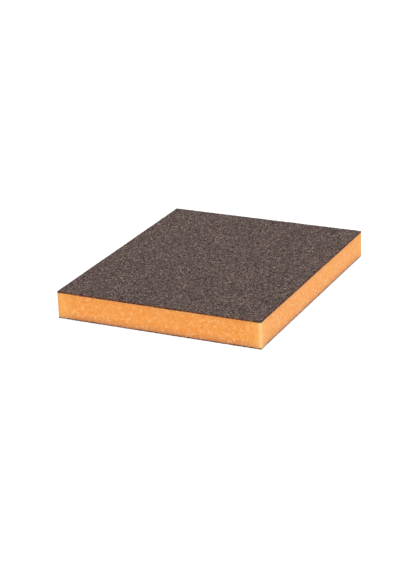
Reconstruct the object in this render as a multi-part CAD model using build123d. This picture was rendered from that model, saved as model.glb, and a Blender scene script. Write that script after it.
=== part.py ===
from build123d import *
import os

# Flat two-sided foam sanding pad, held in the hand.
# A slab of flexible foam carries a coated abrasive on its upper and on its lower face.
# Each coating is three cured layers, counted outwards from the foam: the make coat that
# bonds the mineral, the mineral grain itself, and the size coat that locks the grain in.
# +X runs across the pad, +Y along it and +Z up. The origin is the middle of the underside.

# Driving dimensions, in millimetres
PAD_WIDTH = 98.0
PAD_LENGTH = 120.0
PAD_THICKNESS = 13.0
UPRIGHT_CORNER_RADIUS = 0.6
MAKE_COAT_THICKNESS = 0.15
GRAIN_LAYER_THICKNESS = 0.40
SIZE_COAT_THICKNESS = 0.20
WORKING_RIM_RADIUS = 0.15

COATING_THICKNESS = MAKE_COAT_THICKNESS + GRAIN_LAYER_THICKNESS + SIZE_COAT_THICKNESS
FOAM_THICKNESS = PAD_THICKNESS - 2 * COATING_THICKNESS
FOAM_UNDERSIDE = COATING_THICKNESS
FOAM_TOPSIDE = COATING_THICKNESS + FOAM_THICKNESS
UP = 1
DOWN = -1


def pad_slab(lowest, thickness):
    """A flat slab of the pad's die-cut outline, standing on the height called lowest."""
    outline = RectangleRounded(PAD_WIDTH, PAD_LENGTH, UPRIGHT_CORNER_RADIUS)
    return Pos(0, 0, lowest) * extrude(outline, amount=thickness)


def pad_layer(inner_face, thickness, outwards):
    """A slab laid on the height called inner_face, growing up or down away from the foam."""
    outer_face = inner_face + outwards * thickness
    return pad_slab(min(inner_face, outer_face), thickness)


def foam_core():
    """The die-cut slab of flexible foam between the two coatings."""
    return pad_slab(FOAM_UNDERSIDE, FOAM_THICKNESS)


def make_coat(foam_face, outwards):
    """The resin film that bonds the mineral to the foam."""
    return pad_layer(foam_face, MAKE_COAT_THICKNESS, outwards)


def grain_layer(foam_face, outwards):
    """The bed of abrasive mineral that sits on the make coat."""
    bed_start = foam_face + outwards * MAKE_COAT_THICKNESS
    return pad_layer(bed_start, GRAIN_LAYER_THICKNESS, outwards)


def size_coat(foam_face, outwards):
    """The outermost resin, with the rim of its working face worn round by the die."""
    film_start = foam_face + outwards * (MAKE_COAT_THICKNESS + GRAIN_LAYER_THICKNESS)
    film = pad_layer(film_start, SIZE_COAT_THICKNESS, outwards)
    faces_by_height = film.faces().sort_by(Axis.Z)
    working_face = faces_by_height[-1] if outwards == UP else faces_by_height[0]
    return fillet(working_face.edges(), WORKING_RIM_RADIUS)


def coating(side, foam_face, outwards):
    """The three layers of one coated face, each a solid of its own."""
    return {
        f"{side}_make_coat": make_coat(foam_face, outwards),
        f"{side}_grain_layer": grain_layer(foam_face, outwards),
        f"{side}_size_coat": size_coat(foam_face, outwards),
    }


def sanding_pad():
    """Every node of the pad, by name."""
    nodes = {"foam_core": foam_core()}
    nodes.update(coating("upper", FOAM_TOPSIDE, UP))
    nodes.update(coating("lower", FOAM_UNDERSIDE, DOWN))
    return nodes


os.makedirs("parts", exist_ok=True)
for node_name, solid in sanding_pad().items():
    export_step(solid, f"parts/{node_name}.step")
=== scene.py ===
import math

import bpy
import numpy as np
from mathutils import Matrix, Vector
from mathutils.geometry import delaunay_2d_cdt


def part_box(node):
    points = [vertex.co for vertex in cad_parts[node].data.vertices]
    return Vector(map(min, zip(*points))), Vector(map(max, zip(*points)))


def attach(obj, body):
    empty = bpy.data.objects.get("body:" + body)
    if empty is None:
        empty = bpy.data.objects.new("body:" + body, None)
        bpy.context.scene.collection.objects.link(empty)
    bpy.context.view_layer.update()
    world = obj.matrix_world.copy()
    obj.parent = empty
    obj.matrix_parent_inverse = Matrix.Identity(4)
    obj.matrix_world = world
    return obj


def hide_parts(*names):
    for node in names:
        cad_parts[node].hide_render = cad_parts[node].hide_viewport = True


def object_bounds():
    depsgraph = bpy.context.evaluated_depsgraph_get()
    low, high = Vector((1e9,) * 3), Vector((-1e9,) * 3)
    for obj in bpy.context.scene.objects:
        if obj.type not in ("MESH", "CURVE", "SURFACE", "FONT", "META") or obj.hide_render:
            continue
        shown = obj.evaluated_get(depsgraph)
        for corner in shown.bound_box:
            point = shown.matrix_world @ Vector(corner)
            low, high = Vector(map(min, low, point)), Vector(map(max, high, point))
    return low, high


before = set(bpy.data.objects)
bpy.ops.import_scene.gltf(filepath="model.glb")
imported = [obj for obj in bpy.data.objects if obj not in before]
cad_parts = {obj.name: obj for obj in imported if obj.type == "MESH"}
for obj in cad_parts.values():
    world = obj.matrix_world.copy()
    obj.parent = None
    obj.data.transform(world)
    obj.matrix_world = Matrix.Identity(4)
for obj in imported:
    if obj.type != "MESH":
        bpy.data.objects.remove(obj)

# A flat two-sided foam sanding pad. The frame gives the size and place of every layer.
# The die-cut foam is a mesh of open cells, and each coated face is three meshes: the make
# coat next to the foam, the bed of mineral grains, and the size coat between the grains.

CAD_LOW, CAD_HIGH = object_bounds()
MM = 0.001
BODY = "root"
HALF_WIDTH = (CAD_HIGH.x - CAD_LOW.x) / 2
HALF_LENGTH = (CAD_HIGH.y - CAD_LOW.y) / 2
PAD_MIDDLE = (CAD_LOW + CAD_HIGH) / 2
CORNER_RADIUS = 0.6 * MM
HEX_ROW = math.sqrt(3) / 2
SEEDS = {"foam": 11, "upper": 100, "lower": 200}

# The bed of grains. A share is a part of something from 0 to 1, a spread is (least, most).
GRAIN_PITCH = 0.375 * MM
NET_JITTER = 0.33
GRAIN_RELIEF = 0.32 * MM
GRAIN_SINK_SHAPE = (1.6, 1.8)
FACE_WAVER = 0.02 * MM
FACE_WAVELENGTH = 9 * MM
RIM_ROLL = {"upper": 0.12 * MM, "lower": 0.35 * MM}
STEEPEST_ROLL = 0.98
RIM_BITE = 0.07 * MM
RIM_WAVELENGTH = 4 * MM
WALL_BITE = 0.12 * MM
LEDGE_SHARE = (0.3, 0.7)
DARK_RIM_WIDTH = 0.8 * MM

# The resin under and between the grains
FILM_PITCH = 0.66 * MM
FILM_THICKNESS = 0.08 * MM
FILM_DEPTH = 0.21 * MM
FILM_RELIEF = 0.05 * MM
FILM_INSET = 0.12 * MM
FILM_WAVELENGTH = 4 * MM
MAKE_STEP = 0.35 * MM
MAKE_RINGS = 4
MAKE_BITE_SPREAD = (0.2, 1.0)

# The foam and its cut cells
CELL_PITCH = 0.41 * MM
CELL_JITTER = 0.30
MERGED_CELLS = 0.20
CELL_DEPTH = 0.15 * MM
CELL_DEPTH_SPREAD = (0.35, 1.5)
# The deepest a pit may be, over the distance to its nearest edge. Steeper walls unwrap
# into thousands of islands, too small for a baked texture to hold.
PIT_WALL_SLOPE = 0.85
CELL_RIM_UNEVENNESS = 0.04 * MM
BAND_OVERLAP = 8 * CELL_PITCH
CUT_LINE_WAVER = 0.17 * MM
CUT_LINE_REACH = 2 * CELL_PITCH
CUT_LINE_WAVES = ((0.7, 1.3 * MM, 0), (0.3, 7 * MM, 2))
HIDDEN_LAND = 1.0 * MM

# Specks of paler cells, painted glints of cell windows catching the light; a painted highlight
# down the four upright corners, and a darker line painted down some of them
SPECK_SPACING = 2.5 * MM
SPECK_REACH = (0.22 * MM, 0.52 * MM)
SPECK_STRENGTH = (0.4, 1.0)
SPECK_LEVEL_SHAPE = (1.0, 1.35)
SPECK_CORE = 1.3
SPECK_SWING = (0.8, 0.2, 0.4)
HIGHLIGHT_WIDTH = 4.6 * MM
DARK_LINE_WIDTH = 0.9 * MM
CORNER_HIGHLIGHT = {(-1, -1): 0.93, (1, -1): 1.00, (1, 1): 0.55, (-1, 1): 0.45}
CORNER_DARKENING = {(-1, -1): 1.00, (1, -1): 0.00, (1, 1): 0.60, (-1, 1): 0.60}

# The studio
FLOOR_HALF = 6.0
FLOOR_GLOW = 0.95
WORLD_STRENGTH = 1.1
LENS = 107.14
SENSOR = 36.0
CAMERA_AZIMUTH = math.radians(25.60)
CAMERA_ELEVATION = math.radians(21.02)
CAMERA_DISTANCE = 0.7789
CAMERA_ROLL = math.radians(-2.04)
AIM_RIGHT = -0.0093
AIM_UP = -0.0068


# ---------------------------------------------------------------- shape helpers

def waves(across, along, wavelength, seed, count=9):
    """Smooth random waves over a surface, from about -1 to 1."""
    random = np.random.default_rng(seed)
    total = np.zeros(np.shape(across))
    for _ in range(count):
        heading = random.uniform(0, 2 * math.pi)
        size = wavelength * random.uniform(0.7, 1.6)
        phase = random.uniform(0, 2 * math.pi)
        travel = across * math.cos(heading) + along * math.sin(heading)
        total += np.sin(2 * math.pi * travel / size + phase)
    return total / math.sqrt(2 * count)


def stretch_lengths():
    """The outline's four sides and four rounded corners, one after the other."""
    arc = math.pi / 2 * CORNER_RADIUS
    width, length = 2 * (HALF_WIDTH - CORNER_RADIUS), 2 * (HALF_LENGTH - CORNER_RADIUS)
    return np.array([width, arc, length, arc] * 2)


PERIMETER = float(stretch_lengths().sum())


def outline(distance):
    """Points on the pad's outline with their outward normals, from the distance along it."""
    starts = np.concatenate([[0], np.cumsum(stretch_lengths())[:-1]])
    distance = np.mod(distance, PERIMETER)
    stretch = np.searchsorted(starts, distance, side="right") - 1
    local = distance - starts[stretch]
    side, on_arc = stretch // 2, stretch % 2 == 1
    angle = (side - 1) * math.pi / 2 + np.where(on_arc, local / CORNER_RADIUS, 0.0)
    normal = np.stack([np.cos(angle), np.sin(angle)], axis=-1)
    tangent = np.stack([-normal[:, 1], normal[:, 0]], axis=-1)
    corner_signs = np.array([[-1, -1], [1, -1], [1, 1], [-1, 1]])
    reach = np.array([HALF_WIDTH - CORNER_RADIUS, HALF_LENGTH - CORNER_RADIUS])
    pivot = corner_signs[(side + on_arc) % 4] * reach
    run = np.where(on_arc, 0.0, local)[:, None]
    return pivot + tangent * run + normal * CORNER_RADIUS, normal


def round_corners(x, y, inset):
    """Points past the rounded corners, drawn back onto them."""
    past_x = np.abs(x) - HALF_WIDTH + CORNER_RADIUS
    past_y = np.abs(y) - HALF_LENGTH + CORNER_RADIUS
    reach = np.hypot(past_x, past_y)
    limit = CORNER_RADIUS - inset
    outside = (past_x > 0) & (past_y > 0) & (reach > limit)
    excess = np.where(outside, 1 - limit / np.maximum(reach, 1e-9), 0.0)
    return x - np.sign(x) * past_x * excess, y - np.sign(y) * past_y * excess


def ring_wall(upper, lower):
    """Triangles between two closed rings of the same number of points."""
    next_upper, next_lower = np.roll(upper, -1), np.roll(lower, -1)
    one = np.stack([upper, lower, next_lower], -1)
    two = np.stack([upper, next_lower, next_upper], -1)
    return np.concatenate([one, two])


def ring_fan(ring, centre):
    """Triangles that close a ring below onto one point in its middle."""
    return np.stack([np.roll(ring, -1), ring, np.full(len(ring), centre)], -1)


def make_piece(name, points, triangles, material, slot, node, smooth=False, **attributes):
    """A mesh piece that rides on the pad and stands for a CAD node, with named attributes."""
    mesh = bpy.data.meshes.new(name)
    mesh.vertices.add(len(points))
    mesh.vertices.foreach_set("co", np.asarray(points, np.float32).ravel())
    mesh.loops.add(3 * len(triangles))
    mesh.loops.foreach_set("vertex_index", np.asarray(triangles, np.int32).ravel())
    mesh.polygons.add(len(triangles))
    mesh.polygons.foreach_set("loop_start", np.arange(0, 3 * len(triangles), 3, dtype=np.int32))
    mesh.update(calc_edges=True)
    mesh.polygons.foreach_set("use_smooth", np.full(len(triangles), smooth))
    for label, values in attributes.items():
        domain = "FACE" if len(values) == len(triangles) else "POINT"
        layer = mesh.attributes.new(label, "FLOAT", domain)
        layer.data.foreach_set("value", np.asarray(values, np.float32))
    mesh.materials.append(material)
    piece = bpy.data.objects.new(name, mesh)
    bpy.context.scene.collection.objects.link(piece)
    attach(piece, BODY)
    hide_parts(node)
    return piece


# ---------------------------------------------------------------- coated faces

class Net:
    """A staggered net of points over the pad's plan, with its triangles and its rim."""

    def __init__(self, pitch, inset, seed):
        self.random = np.random.default_rng(seed)
        self.columns = round(2 * HALF_WIDTH / pitch)
        self.rows = round(2 * HALF_LENGTH / (pitch * HEX_ROW))
        column, row = np.meshgrid(np.arange(self.columns + 1), np.arange(self.rows + 1))
        inner_column = (column > 0) & (column < self.columns)
        inner_row = (row > 0) & (row < self.rows)
        stagger = 0.5 * (row % 2) - 0.25
        slip = self.random.uniform(-NET_JITTER, NET_JITTER, column.shape)
        rise = self.random.uniform(-NET_JITTER, NET_JITTER, column.shape)
        across = (column + (stagger + slip) * inner_column) / self.columns
        along = (row + rise * inner_row) / self.rows
        x = (2 * across - 1) * (HALF_WIDTH - inset)
        y = (2 * along - 1) * (HALF_LENGTH - inset)
        x, y = round_corners(x, y, inset)
        self.x, self.y = x.ravel(), y.ravel()

    def index(self, column, row):
        """The number of the point in a column and a row."""
        return row * (self.columns + 1) + column

    def triangles(self):
        """Two triangles to a cell of the net, its diagonal turned on every other row."""
        column, row = np.meshgrid(np.arange(self.columns), np.arange(self.rows))
        a, b = self.index(column, row), self.index(column + 1, row)
        c, d = self.index(column + 1, row + 1), self.index(column, row + 1)
        even_row = (row % 2 == 0)[..., None]
        one = np.where(even_row, np.stack([a, b, d], -1), np.stack([a, b, c], -1))
        two = np.where(even_row, np.stack([b, c, d], -1), np.stack([a, c, d], -1))
        return np.concatenate([one.reshape(-1, 3), two.reshape(-1, 3)])

    def rim(self):
        """The points round the edge, in order."""
        columns, rows = np.arange(self.columns), np.arange(self.rows)
        return np.concatenate([
            self.index(columns, 0),
            self.index(self.columns, rows),
            self.index(self.columns - columns, self.rows),
            self.index(0, self.rows - rows),
        ])

    def bite_rim(self, seed):
        """Draws the rim in by small uneven amounts, as a die leaves it."""
        rim = self.rim()
        long_bite = waves(self.x[rim], self.y[rim], RIM_WAVELENGTH, seed)
        bite = 0.5 + 0.25 * long_bite + self.random.uniform(-0.3, 0.3, len(rim))
        shrink = RIM_BITE * np.clip(bite, 0, 1)
        self.x[rim] *= 1 - shrink / HALF_WIDTH
        self.y[rim] *= 1 - shrink / HALF_LENGTH

    def from_rim(self):
        """How far each point lies inside the pad's straight sides."""
        return np.minimum(HALF_WIDTH - np.abs(self.x), HALF_LENGTH - np.abs(self.y))

    def rim_roll(self, side):
        """How far the working face has rolled away towards the foam near its rim."""
        nearness = np.clip(1 - self.from_rim() / RIM_ROLL[side], 0, STEEPEST_ROLL)
        return RIM_ROLL[side] * (1 - np.sqrt(1 - nearness ** 2))

    def rim_nearness(self):
        """1 at the rim, falling to 0 at DARK_RIM_WIDTH in from it; the coats' colour is
        darkened by it.
        """
        return 1 - np.clip(self.from_rim() / DARK_RIM_WIDTH, 0, 1)


def working_height(side, outwards):
    """The height of the coated face's outermost surface."""
    low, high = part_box(f"{side}_size_coat")
    return high.z if outwards > 0 else low.z


def facing(triangles, outwards):
    """The triangles of an upper coating, or turned over for a lower one."""
    return triangles if outwards > 0 else triangles[:, ::-1]


def grain_bed(side, outwards, seed, material):
    """The bed of mineral: a net of sharp facets, closed by a broken rim and a flat back.

    Every facet takes the shade of the highest grain that it climbs to, and a tone and a
    gloss of its own. The walls and the rolled rim are marked as cut resin."""
    low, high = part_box(f"{side}_grain_layer")
    back = low.z if outwards > 0 else high.z
    net = Net(GRAIN_PITCH, 0.0, seed)
    net.bite_rim(seed + 1)
    count = len(net.x)
    depth = net.random.beta(*GRAIN_SINK_SHAPE, count)
    waver = FACE_WAVER * (1 + waves(net.x, net.y, FACE_WAVELENGTH, seed + 2))
    sink = depth * GRAIN_RELIEF + waver + net.rim_roll(side)
    rolled = net.from_rim() < RIM_ROLL[side] + GRAIN_PITCH
    rim = net.rim()
    face = np.stack([net.x, net.y, working_height(side, outwards) - outwards * sink], -1)
    shrink = 1 - WALL_BITE * net.random.uniform(0, 1, len(rim)) / HALF_WIDTH
    share = net.random.uniform(*LEDGE_SHARE, len(rim))
    ledge = face[rim] * (1 - share[:, None]) + np.array([0, 0, back]) * share[:, None]
    ledge[:, :2] = face[rim, :2] * shrink[:, None]
    back_ring = np.column_stack([net.x[rim], net.y[rim], np.full(len(rim), back)])
    points = np.concatenate([face, ledge, back_ring, [[0.0, 0.0, back]]])
    ledge_rim = count + np.arange(len(rim))
    back_rim = ledge_rim + len(rim)
    faces = net.triangles()
    shade_of_grain = net.random.uniform(0, 1, len(points))
    peak = np.take_along_axis(faces, sink[faces].argmin(1)[:, None], 1)[:, 0]
    walls = np.concatenate([
        ring_wall(rim, ledge_rim),
        ring_wall(ledge_rim, back_rim),
        ring_fan(back_rim, len(points) - 1),
    ])
    triangles = np.concatenate([faces, walls])
    ones = np.ones(len(points) - count)
    return make_piece(
        f"{side}_grit", points, facing(triangles, outwards), material,
        "grain", f"{side}_grain_layer",
        grain=shade_of_grain[np.concatenate([peak, walls[:, 0]])],
        tone=net.random.uniform(0, 1, len(triangles)),
        spark=net.random.uniform(0, 1, len(triangles)),
        wall=np.concatenate([rolled[faces].min(1), np.ones(len(walls))]),
        depth=np.concatenate([depth, ones]),
        edge=np.concatenate([net.rim_nearness(), ones]),
    )


def size_film(side, outwards, seed, material):
    """The size coat: a thin uneven film of resin that the grains stand up through."""
    net = Net(FILM_PITCH, FILM_INSET, seed)
    count = len(net.x)
    sink = FILM_DEPTH + net.random.uniform(-1, 1, count) * FILM_RELIEF
    sink += FACE_WAVER * waves(net.x, net.y, FILM_WAVELENGTH, seed + 1)
    sink += net.rim_roll(side)
    outer = np.stack([net.x, net.y, working_height(side, outwards) - outwards * sink], -1)
    inner = outer - np.array([0, 0, outwards * FILM_THICKNESS])
    rim, faces = net.rim(), net.triangles()
    triangles = np.concatenate([faces, faces[:, ::-1] + count, ring_wall(rim, rim + count)])
    return make_piece(
        f"{side}_size_resin", np.concatenate([outer, inner]), facing(triangles, outwards),
        material, "size_coat", f"{side}_size_coat", smooth=True,
        edge=np.tile(net.rim_nearness(), 2),
    )


def make_film(side, seed, material):
    """The make coat: a slab with a torn edge, seen as a dark line along the cut."""
    low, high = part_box(f"{side}_make_coat")
    random = np.random.default_rng(seed)
    steps = round(PERIMETER / MAKE_STEP)
    at, normal = outline(np.arange(steps) * PERIMETER / steps)
    rings = []
    for height in np.linspace(low.z, high.z, MAKE_RINGS):
        bite = RIM_BITE * random.uniform(*MAKE_BITE_SPREAD, steps)[:, None]
        rings.append(np.column_stack([at - normal * bite, np.full(steps, height)]))
    points = np.concatenate(rings + [[[0, 0, low.z], [0, 0, high.z]]])
    ring = [level * steps + np.arange(steps) for level in range(len(rings))]
    triangles = np.concatenate([
        *[ring_wall(ring[level + 1], ring[level]) for level in range(len(rings) - 1)],
        ring_fan(ring[0], len(points) - 2),
        ring_fan(ring[-1], len(points) - 1)[:, ::-1],
    ])
    return make_piece(f"{side}_make_resin", points, triangles, material,
                      "make_coat", f"{side}_make_coat")


# ---------------------------------------------------------------- foam

def cell_sites(height, random):
    """Cell centres on the unrolled side of the foam: place round it, height, and if inside."""
    columns = round(PERIMETER / CELL_PITCH)
    rows = round(height / (CELL_PITCH * HEX_ROW))
    column, row = np.meshgrid(np.arange(columns), np.arange(rows + 1))
    inside = (row > 0) & (row < rows)
    slip = random.uniform(-CELL_JITTER, CELL_JITTER, column.shape) * inside
    rise = random.uniform(-CELL_JITTER, CELL_JITTER, column.shape) * inside
    around = np.mod((column + 0.5 * (row % 2) + slip) * PERIMETER / columns, PERIMETER)
    up = (row + rise) * height / rows
    kept = (random.uniform(0, 1, column.shape) > MERGED_CELLS) | ~inside
    return around[kept], up[kept], inside[kept]


def band_triangles(around, up):
    """Delaunay triangles of sites on a closed band, with each one's middle."""
    early, late = around < BAND_OVERLAP, around > PERIMETER - BAND_OVERLAP
    number = np.arange(len(around))
    site = np.concatenate([number, number[early], number[late]])
    place = np.concatenate([around, around[early] + PERIMETER, around[late] - PERIMETER])
    unrolled = [Vector(pair) for pair in zip(place / CELL_PITCH, up[site] / CELL_PITCH)]
    found = delaunay_2d_cdt(unrolled, [], [], 0, 1e-6, True)
    given = np.array([sources[0] for sources in found[3]])
    corners = given[np.array(found[2])]
    middle = place[corners].mean(1)
    corners = corners[(middle >= 0) & (middle < PERIMETER)]
    return site[corners], place[corners].mean(1), up[site[corners]].mean(1)


def pit_triangles(triangles, sites):
    """Triangles from each cell's centre to its rim, whose points are the net's middles.

    Two middles that share a net edge are joined by a ridge between the two cells. The net's
    outer edges keep a triangle each. The second result is the cell each triangle is in."""
    start = triangles.ravel()
    end = triangles[:, [1, 2, 0]].ravel()
    middle = sites + np.repeat(np.arange(len(triangles)), 3)
    order = np.argsort(np.minimum(start, end) * sites + np.maximum(start, end), kind="stable")
    start, end, middle = start[order], end[order], middle[order]
    same = (start[:-1] == end[1:]) & (end[:-1] == start[1:])
    one = np.nonzero(same)[0]
    two = one + 1
    alone = np.setdiff1d(np.arange(len(start)), np.concatenate([one, two]))
    ridged = [
        np.stack([start[one], middle[two], middle[one]], -1),
        np.stack([end[one], middle[one], middle[two]], -1),
        np.stack([start[alone], end[alone], middle[alone]], -1),
    ]
    return np.concatenate(ridged), np.concatenate([start[one], end[one], start[alone]])


def nearest_wall(triangles, place, rise, cells):
    """How far each cell's centre is from the nearest edge of its rim."""
    centre, first, second = triangles.T
    half = PERIMETER / 2
    edge_x = np.mod(place[second] - place[first] + half, PERIMETER) - half
    away_x = np.mod(place[centre] - place[first] + half, PERIMETER) - half
    edge_y, away_y = rise[second] - rise[first], rise[centre] - rise[first]
    distance = np.abs(edge_x * away_y - edge_y * away_x) / np.hypot(edge_x, edge_y)
    nearest = np.full(cells, np.inf)
    np.minimum.at(nearest, centre, distance)
    return nearest


def cut_line_shift(around, up, height, seed):
    """How far the knife wandered off the level at the foam's lower and upper cut lines."""
    angle = around / PERIMETER * 2 * math.pi
    ring_x, ring_y = np.cos(angle) * PERIMETER / 6, np.sin(angle) * PERIMETER / 6
    shift = np.zeros(len(around))
    for line, line_seed in ((0.0, seed), (height, seed + 1)):
        near = np.clip(1 - np.abs(up - line) / CUT_LINE_REACH, 0, 1)
        for share, wavelength, offset in CUT_LINE_WAVES:
            waver = share * waves(ring_x, ring_y, wavelength, line_seed + offset)
            shift += CUT_LINE_WAVER * near * waver
    return shift


def glinting_cells(around, up, height, random):
    """How pale each cell is: painted glints, small specks of paler cells that stand for cell
    windows catching the light, strewn unevenly over the cut sides.
    """
    count = round(PERIMETER * height / SPECK_SPACING ** 2)
    place = random.uniform(0, PERIMETER, count)
    level = height * random.beta(*SPECK_LEVEL_SHAPE, count)
    reach = random.uniform(*SPECK_REACH, count)
    strength = random.uniform(*SPECK_STRENGTH, count)
    middle, swing, turn = SPECK_SWING
    strength *= middle + swing * np.cos(2 * math.pi * place / PERIMETER - turn)
    gap = np.abs(around[:, None] - place)
    gap = np.minimum(gap, PERIMETER - gap)
    nearness = SPECK_CORE - np.hypot(gap, up[:, None] - level) / reach
    return (strength * np.clip(nearness, 0, 1)).max(1)


def foam_block(seed, material):
    """The die-cut foam: a block with every cut cell open on its sides."""
    random = np.random.default_rng(seed)
    low, high = (corner.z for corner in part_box("foam_core"))
    around, up, inside = cell_sites(high - low, random)
    triangles, rim_around, rim_up = band_triangles(around, up)
    sides, cell = pit_triangles(triangles, len(around))
    pit = CELL_DEPTH * random.uniform(*CELL_DEPTH_SPREAD, len(around))
    rim = CELL_RIM_UNEVENNESS * random.uniform(0, 1, len(rim_around))
    place = np.concatenate([around, rim_around])
    rise = np.concatenate([up, rim_up])
    depth = np.concatenate([np.where(inside, pit, 0.0), rim])
    cut = depth.copy()
    steepest = PIT_WALL_SLOPE * nearest_wall(sides, place, rise, len(around))
    cut[:len(around)] = np.minimum(depth[:len(around)], steepest)
    at, normal = outline(place)
    at = at - normal * cut[:, None]
    level = low + rise + cut_line_shift(place, rise, high - low, seed + 1)
    points, closing = [np.column_stack([at, level])], []
    # Each end is closed by a narrow land and a fan, which the coatings cover
    count = len(place)
    for height, on_line, turn in ((low, up <= 0, 1), (high, up >= high - low, -1)):
        ring = np.nonzero(on_line)[0]
        ring = ring[np.argsort(around[ring])]
        land = at[ring] * (1 - HIDDEN_LAND / HALF_LENGTH)
        land_ring = count + np.arange(len(ring))
        points.append(np.column_stack([land, np.full(len(ring), height)]))
        points.append([[0.0, 0.0, height]])
        count += len(ring) + 1
        closing.append(ring_wall(ring, land_ring)[:, ::turn])
        closing.append(ring_fan(land_ring, count - 1)[:, ::turn])
    points, hidden = np.concatenate(points), np.concatenate(closing)
    tone = random.uniform(0, 1, len(around))
    pale = glinting_cells(around, up, high - low, random)
    # Painted highlight down the upright corners, and a darker line painted down some of them
    glow, scuff = np.zeros(len(points)), np.zeros(len(points))
    for corner, strength in CORNER_HIGHLIGHT.items():
        away = points[:, :2] - np.array(corner) * (HALF_WIDTH, HALF_LENGTH)
        distance = np.hypot(away[:, 0], away[:, 1])
        glow += strength * np.exp(-((distance / HIGHLIGHT_WIDTH) ** 2))
        scuff += CORNER_DARKENING[corner] * np.exp(-((distance / DARK_LINE_WIDTH) ** 2))
    plain = np.zeros(len(hidden))
    return make_piece(
        "foam_pad", points, np.concatenate([sides, hidden]), material, "foam", "foam_core",
        tone=np.concatenate([tone[cell], plain]),
        pale=np.concatenate([pale[cell], plain]),
        # The pit attribute keeps the uncut depth, for the painted shade in each pit
        pit=np.concatenate([depth / CELL_DEPTH, np.zeros(len(points) - len(depth))]),
        glow=glow,
        scuff=scuff,
        level=np.clip((points[:, 2] - low) / (high - low), 0, 1),
    )


# ---------------------------------------------------------------- materials

def new_material(name):
    """A node material: its node tree and its Principled shader."""
    material = bpy.data.materials.new(name)
    material.use_nodes = True
    tree = material.node_tree
    return material, tree, tree.nodes["Principled BSDF"]


def attribute(tree, name):
    """The value of a mesh attribute."""
    node = tree.nodes.new("ShaderNodeAttribute")
    node.attribute_name = name
    return node.outputs["Fac"]


def noise(tree, feature, detail=2.0, roughness=0.5):
    """Noise in the object's own space, with features of about the given size in metres."""
    place = tree.nodes.new("ShaderNodeTexCoord")
    node = tree.nodes.new("ShaderNodeTexNoise")
    node.inputs["Scale"].default_value = 1 / feature
    node.inputs["Detail"].default_value = detail
    node.inputs["Roughness"].default_value = roughness
    tree.links.new(place.outputs["Object"], node.inputs["Vector"])
    return node.outputs["Fac"]


def speckle(tree, feature):
    """A random value, the same all over each cell of about the given size in metres."""
    place = tree.nodes.new("ShaderNodeTexCoord")
    node = tree.nodes.new("ShaderNodeTexVoronoi")
    node.inputs["Scale"].default_value = 1 / feature
    tree.links.new(place.outputs["Object"], node.inputs["Vector"])
    parts = tree.nodes.new("ShaderNodeSeparateColor")
    tree.links.new(node.outputs["Color"], parts.inputs["Color"])
    return parts.outputs["Red"]


def math_node(tree, operation, first, second):
    """One arithmetic step on sockets or numbers."""
    node = tree.nodes.new("ShaderNodeMath")
    node.operation = operation
    for socket, value in zip(node.inputs, (first, second)):
        if isinstance(value, (int, float)):
            socket.default_value = value
        else:
            tree.links.new(value, socket)
    return node.outputs[0]


def ramp(tree, value, *stops):
    """A colour ramp through (position, colour) stops."""
    node = tree.nodes.new("ShaderNodeValToRGB")
    tree.links.new(value, node.inputs["Fac"])
    elements = node.color_ramp.elements
    while len(elements) < len(stops):
        elements.new(1.0)
    for element, (position, colour) in zip(elements, stops):
        element.position = position
        element.color = (*colour, 1.0)
    return node.outputs["Color"]


def level_ramp(tree, value, *stops):
    """A ramp through (position, grey level) stops."""
    return ramp(tree, value, *[(position, (grey,) * 3) for position, grey in stops])


def mix_colours(tree, share, first, second, blend="MIX"):
    """Two colours mixed by a share, each a socket or a plain colour."""
    node = tree.nodes.new("ShaderNodeMix")
    node.data_type = "RGBA"
    node.blend_type = blend
    for label, value in (("Factor", share), ("A", first), ("B", second)):
        socket = node.inputs[label]
        if isinstance(value, (int, float)):
            socket.default_value = value
        elif isinstance(value, tuple):
            socket.default_value = (*value, 1.0)
        else:
            tree.links.new(value, socket)
    return node.outputs["Result"]


def bump(tree, shader, height, strength, distance):
    """Fine relief on a shader, from a height socket."""
    node = tree.nodes.new("ShaderNodeBump")
    node.inputs["Strength"].default_value = strength
    node.inputs["Distance"].default_value = distance
    tree.links.new(height, node.inputs["Height"])
    tree.links.new(node.outputs["Normal"], shader.inputs["Normal"])


def weighted(tree, *terms):
    """The sum of (weight, socket) terms."""
    total = 0.0
    for weight, socket in terms:
        total = math_node(tree, "ADD", math_node(tree, "MULTIPLY", socket, weight), total)
    return total


def cut_resin(tree):
    """The red-brown of the coats where the die cut through them, darker in places."""
    return ramp(
        tree, noise(tree, 0.9 * MM, 2.0, 0.6),
        (0.38, (0.024, 0.008, 0.004)),
        (0.50, (0.115, 0.038, 0.017)),
        (0.66, (0.270, 0.092, 0.040)),
    )


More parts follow.
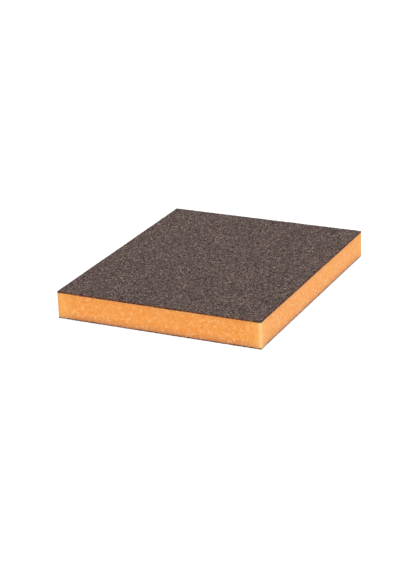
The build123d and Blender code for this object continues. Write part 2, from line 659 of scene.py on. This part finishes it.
def grain_material():
    """Brown-grey crushed mineral: every grain its own tone, darkened by painted shade where it
    lies deep.

    A few grains carry painted glints, and the face is darker towards its rim. The broken
    rim shows the resin instead."""
    material, tree, shader = new_material("mineral_grain")
    grain = attribute(tree, "grain")
    shade = weighted(
        tree,
        (0.76, grain),
        (0.65, attribute(tree, "tone")),
        (0.08, noise(tree, 14 * MM, 1.0)),
        (0.12, noise(tree, 0.16 * MM, 2.0, 0.6)),
        # painted shade: grains that lie deep are darker
        (-0.46, attribute(tree, "depth")),
        (-0.19, 1.0),
    )
    body = ramp(
        tree, shade,
        (0.00, (0.008, 0.004, 0.003)),
        (0.25, (0.023, 0.013, 0.010)),
        (0.45, (0.064, 0.040, 0.034)),
        (0.65, (0.116, 0.079, 0.069)),
        (0.90, (0.175, 0.126, 0.111)),
    )
    # Painted glints on a few grains
    painted_glint = level_ramp(tree, grain, (0.978, 0.0), (0.982, 0.35))
    body = mix_colours(tree, painted_glint, body, (0.42, 0.34, 0.30))
    # Darker towards the rim
    rim = level_ramp(tree, attribute(tree, "edge"), (0.0, 1.0), (1.0, 0.45))
    body = mix_colours(tree, 1.0, body, rim, "MULTIPLY")
    facet = level_ramp(tree, attribute(tree, "tone"), (0.0, 0.5), (1.0, 1.5))
    torn = mix_colours(tree, 1.0, cut_resin(tree), facet, "MULTIPLY")
    body = mix_colours(tree, attribute(tree, "wall"), body, torn)
    tree.links.new(body, shader.inputs["Base Color"])
    rough = level_ramp(tree, attribute(tree, "spark"), (0.0, 0.85), (0.9, 0.7), (1.0, 0.4))
    tree.links.new(rough, shader.inputs["Roughness"])
    shader.inputs["Specular IOR Level"].default_value = 0.08
    bump(tree, shader, noise(tree, 0.09 * MM, 2.0), 0.35, 0.03 * MM)
    return material


def size_material():
    """Cured resin between the grains: dark satin, with paler mineral dust in it."""
    material, tree, shader = new_material("size_resin")
    dust = noise(tree, 0.28 * MM, 2.0, 0.6)
    patch = speckle(tree, 0.40 * MM)
    shade = weighted(tree, (0.5, patch), (0.5, dust))
    body = ramp(
        tree, shade,
        (0.25, (0.012, 0.006, 0.005)),
        (0.50, (0.030, 0.017, 0.013)),
        (0.75, (0.070, 0.045, 0.038)),
    )
    # Darker towards the rim
    rim = level_ramp(tree, attribute(tree, "edge"), (0.0, 1.0), (1.0, 0.45))
    body = mix_colours(tree, 1.0, body, rim, "MULTIPLY")
    tree.links.new(body, shader.inputs["Base Color"])
    rough = level_ramp(tree, dust, (0.3, 0.75), (0.7, 0.55))
    tree.links.new(rough, shader.inputs["Roughness"])
    shader.inputs["Specular IOR Level"].default_value = 0.15
    bump(tree, shader, dust, 0.6, 0.06 * MM)
    return material


def make_material():
    """The bonding resin: dark red-brown, a little glossy where the die broke it."""
    material, tree, shader = new_material("make_resin")
    streaks = noise(tree, 0.5 * MM, 3.0, 0.6)
    body = ramp(tree, streaks, (0.35, (0.030, 0.010, 0.006)), (0.7, (0.210, 0.080, 0.036)))
    tree.links.new(body, shader.inputs["Base Color"])
    rough = level_ramp(tree, streaks, (0.3, 0.5), (0.7, 0.75))
    tree.links.new(rough, shader.inputs["Roughness"])
    shader.inputs["Specular IOR Level"].default_value = 0.2
    bump(tree, shader, streaks, 0.5, 0.05 * MM)
    return material


def foam_material():
    """Flexible orange foam: each cut cell has its own tone, and painted shade darkens its pit.

    It has browner painted shade next to the coats, painted glints in its specks of paler cells,
    a painted highlight down its upright corners and a darker line painted down some of them,
    and light passes a little way into it."""
    material, tree, shader = new_material("orange_foam")
    mottle = noise(tree, 2.6 * MM, 3.0, 0.6)
    shade = weighted(
        tree,
        (0.46, attribute(tree, "tone")),
        (0.62, mottle),
        (0.20, noise(tree, 0.12 * MM, 2.0, 0.6)),
        # painted shade: each pit darker by its depth
        (-0.24, attribute(tree, "pit")),
        (-0.06, 1.0),
    )
    body = ramp(
        tree, shade,
        (0.10, (0.76, 0.225, 0.022)),
        (0.45, (0.82, 0.308, 0.048)),
        (0.80, (0.88, 0.400, 0.104)),
    )
    # Painted shade next to the coats: the foam darker towards its bottom and top
    painted_coat_shade = ramp(
        tree, attribute(tree, "level"),
        (0.00, (0.56, 0.48, 0.85)),
        (0.04, (0.70, 0.64, 0.95)),
        (0.10, (0.86, 0.83, 1.00)),
        (0.28, (1.00, 1.00, 1.00)),
        (0.80, (1.00, 1.00, 1.00)),
        (0.97, (0.92, 0.92, 1.06)),
        (1.00, (0.85, 0.85, 1.06)),
    )
    body = mix_colours(tree, 1.0, body, painted_coat_shade, "MULTIPLY")
    # Painted glints: specks of paler cells that stand for cell windows catching the light
    painted_cell_glint = math_node(tree, "MULTIPLY", attribute(tree, "pale"), 0.68)
    body = mix_colours(tree, painted_cell_glint, body, (0.97, 0.68, 0.38))
    # Painted highlight down the upright corners: a warmer, paler band, with a paler crest at
    # each corner
    glow = attribute(tree, "glow")
    highlight_colour = ramp(tree, shade, (0.10, (0.82, 0.350, 0.062)), (0.80, (0.92, 0.510, 0.140)))
    body = mix_colours(tree, math_node(tree, "MULTIPLY", glow, 0.65), body, highlight_colour)
    crest_highlight = math_node(tree, "MULTIPLY", math_node(tree, "POWER", glow, 20.0), 0.75)
    pale = ramp(tree, shade, (0.10, (0.90, 0.530, 0.200)), (0.80, (0.96, 0.680, 0.330)))
    body = mix_colours(tree, crest_highlight, body, pale)
    # A darker line painted down some upright corners
    scuff = math_node(tree, "MULTIPLY", attribute(tree, "scuff"), 0.8)
    body = mix_colours(tree, scuff, body, (0.50, 0.20, 0.06))
    tree.links.new(body, shader.inputs["Base Color"])
    rough = level_ramp(tree, mottle, (0.3, 0.82), (0.7, 0.95))
    tree.links.new(rough, shader.inputs["Roughness"])
    shader.inputs["Specular IOR Level"].default_value = 0.2
    shader.inputs["Sheen Weight"].default_value = 0.5
    shader.inputs["Sheen Roughness"].default_value = 0.5
    shader.inputs["Sheen Tint"].default_value = (1.0, 0.9, 0.8, 1.0)
    shader.inputs["Subsurface Weight"].default_value = 0.35
    shader.inputs["Subsurface Radius"].default_value = (1.0, 0.45, 0.20)
    shader.inputs["Subsurface Scale"].default_value = 1.2 * MM
    bump(tree, shader, noise(tree, 0.16 * MM, 2.0, 0.6), 0.3, 0.04 * MM)
    return material


def floor_material():
    """A plain white studio surface that glows a little, so that it stays white by the pad."""
    material, tree, shader = new_material("studio_floor")
    body = level_ramp(tree, noise(tree, 0.2, 2.0), (0.3, 0.10), (0.7, 0.12))
    tree.links.new(body, shader.inputs["Base Color"])
    shader.inputs["Emission Color"].default_value = (1.0, 1.0, 1.0, 1.0)
    shader.inputs["Emission Strength"].default_value = FLOOR_GLOW
    shader.inputs["Roughness"].default_value = 0.9
    shader.inputs["Specular IOR Level"].default_value = 0.1
    return material


# ---------------------------------------------------------------- studio

def studio_floor(material):
    """A wide flat floor under the pad."""
    corners = [(-1, -1), (1, -1), (1, 1), (-1, 1)]
    mesh = bpy.data.meshes.new("studio_floor")
    mesh.from_pydata([(x * FLOOR_HALF, y * FLOOR_HALF, CAD_LOW.z) for x, y in corners],
                     [], [(0, 1, 2, 3)])
    mesh.materials.append(material)
    floor = bpy.data.objects.new("studio_floor", mesh)
    bpy.context.scene.collection.objects.link(floor)


def studio_world():
    """Even white light from all round, and the pale background."""
    world = bpy.data.worlds.new("studio")
    bpy.context.scene.world = world
    world.use_nodes = True
    background = world.node_tree.nodes["Background"]
    background.inputs["Color"].default_value = (1.0, 1.0, 1.0, 1.0)
    background.inputs["Strength"].default_value = WORLD_STRENGTH


def softbox(name, azimuth, elevation, distance, size, power):
    """A square area light that faces the pad."""
    a, e = math.radians(azimuth), math.radians(elevation)
    away = Vector((math.sin(a) * math.cos(e), -math.cos(a) * math.cos(e), math.sin(e)))
    light = bpy.data.lights.new(name, "AREA")
    light.size = size
    light.energy = power
    lamp = bpy.data.objects.new(name, light)
    bpy.context.scene.collection.objects.link(lamp)
    lamp.location = PAD_MIDDLE + away * distance
    lamp.rotation_euler = away.to_track_quat("Z", "Y").to_euler()


def camera():
    """The camera, aimed a little to one side of the pad's middle and rolled slightly."""
    a, e = CAMERA_AZIMUTH, CAMERA_ELEVATION
    away = Vector((math.sin(a) * math.cos(e), -math.cos(a) * math.cos(e), math.sin(e)))
    right = Vector((math.cos(a), math.sin(a), 0.0))
    up = right.cross(-away)
    ahead = (-away + AIM_RIGHT * right + AIM_UP * up).normalized()
    level_right = ahead.cross(Vector((0, 0, 1))).normalized()
    level_up = level_right.cross(ahead)
    c, s = math.cos(CAMERA_ROLL), math.sin(CAMERA_ROLL)
    axes = (c * level_right + s * level_up, c * level_up - s * level_right, -ahead)
    data = bpy.data.cameras.new("studio_camera")
    data.lens = LENS
    data.sensor_width = SENSOR
    data.clip_start = 0.01
    data.clip_end = 50.0
    lens = bpy.data.objects.new("studio_camera", data)
    bpy.context.scene.collection.objects.link(lens)
    turn = Matrix(axes).transposed().to_4x4()
    lens.matrix_world = Matrix.Translation(PAD_MIDDLE + away * CAMERA_DISTANCE) @ turn
    bpy.context.scene.camera = lens


# ---------------------------------------------------------------- assembly

camera()
studio_world()
studio_floor(floor_material())
softbox("overhead_light", azimuth=215, elevation=68, distance=1.0, size=0.5, power=8.0)

bpy.context.scene.view_settings.view_transform = "Standard"

foam = foam_block(SEEDS["foam"], foam_material())

grain, size_resin, make_resin = grain_material(), size_material(), make_material()
for side, outwards in (("upper", 1), ("lower", -1)):
    seed = SEEDS[side]
    make_film(side, seed, make_resin)
    grain_bed(side, outwards, seed + 10, grain)
    size_film(side, outwards, seed + 20, size_resin)
